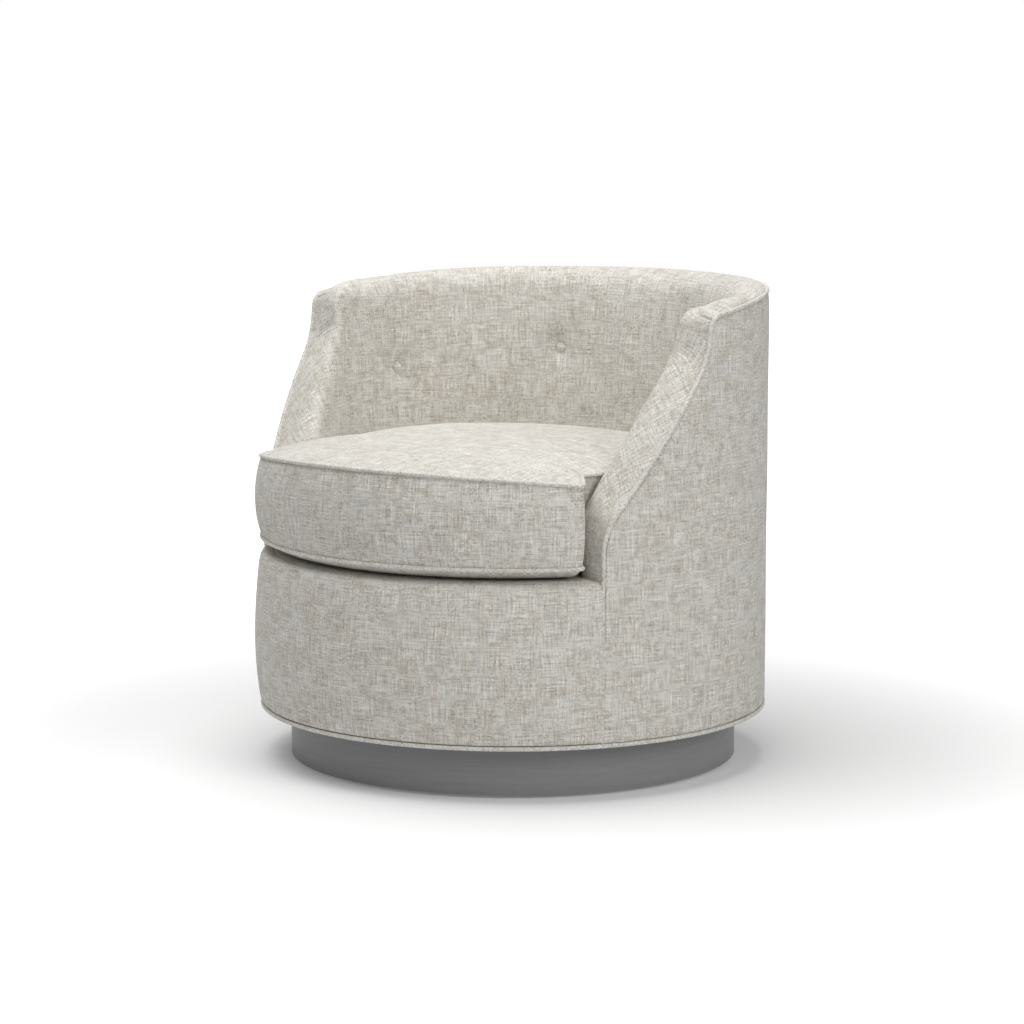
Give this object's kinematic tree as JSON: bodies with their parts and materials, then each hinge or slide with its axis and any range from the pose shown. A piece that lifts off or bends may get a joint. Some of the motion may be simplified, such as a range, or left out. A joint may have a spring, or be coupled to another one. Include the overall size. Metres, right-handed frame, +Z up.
{
  "type": "swivel chair",
  "caption": "Round upholstered barrel swivel chair with a buttoned inside back, sloping arms, piped seams and a loose T-shaped seat cushion, on a low drum plinth.",
  "frame": {"origin": "on the floor under the turning axis, at the middle of the ring of glides", "axes": "+Z up along the turning axis, the chair faces -Y, +X is to the sitter's left"},
  "size_m": [0.8006, 0.8123, 0.751],
  "materials": {
    "upholstery_fabric": "slubby light grey-beige linen weave with tan flecks",
    "piping_fabric": "same cloth cut on the bias round a cord",
    "plinth_finish": "grey painted bent plywood, faint grain along the ring",
    "frame_wood": "unfinished birch plywood",
    "glide_plastic": "black nylon",
    "zinc_steel": "zinc-plated pressed steel",
    "bearing_steel": "polished bearing steel",
    "spring_steel": "oiled spring wire",
    "dust_cloth": "black non-woven cloth",
    "burlap_cloth": "burlap",
    "deck_felt": "felt pad in deck cloth",
    "liner_board": "grey-brown lining board",
    "twine": "waxed twine",
    "cushion_foam": "cream foam"
  },
  "bodies": {
    "base": {"plinth_ring": "plinth_finish", "floor_glides": "glide_plastic", "plinth_blocks": "frame_wood", "plinth_board": "frame_wood", "plate_screws": "zinc_steel", "lower_swivel_plate": "zinc_steel", "bearing_balls": "bearing_steel", "centre_rivet": "zinc_steel"},
    "seat": {"upper_swivel_plate": "zinc_steel", "plate_bolts": "zinc_steel", "base_board": "frame_wood", "dust_cover": "dust_cloth", "lower_hoop": "frame_wood", "lower_studs": "frame_wood", "seat_rail": "frame_wood", "seat_springs": "spring_steel", "spring_clips": "zinc_steel", "burlap": "burlap_cloth", "deck_pad": "deck_felt", "upper_studs": "frame_wood", "arm_panel_right": "frame_wood", "arm_panel_left": "frame_wood", "top_rail": "frame_wood", "back_liner": "liner_board", "inside_back": "upholstery_fabric", "buttons": "upholstery_fabric", "button_ties": "twine", "outside_back": "upholstery_fabric", "front_border": "upholstery_fabric", "rim_piping": "piping_fabric", "lower_piping": "piping_fabric"},
    "cushion": {"cushion_cover": "upholstery_fabric", "cushion_core": "cushion_foam", "cushion_upper_piping": "piping_fabric", "cushion_lower_piping": "piping_fabric"}
  },
  "joints": [
    {"name": "swivel", "type": "hinge", "parent": "base", "child": "seat", "pos_m": [0, 0, 0], "axis": [0, 0, 1], "continuous": true},
    {"name": "cushion_lift", "type": "slide", "parent": "seat", "child": "cushion", "axis": [0, 0, 1], "range_m": [0, 0.44]}
  ]
}
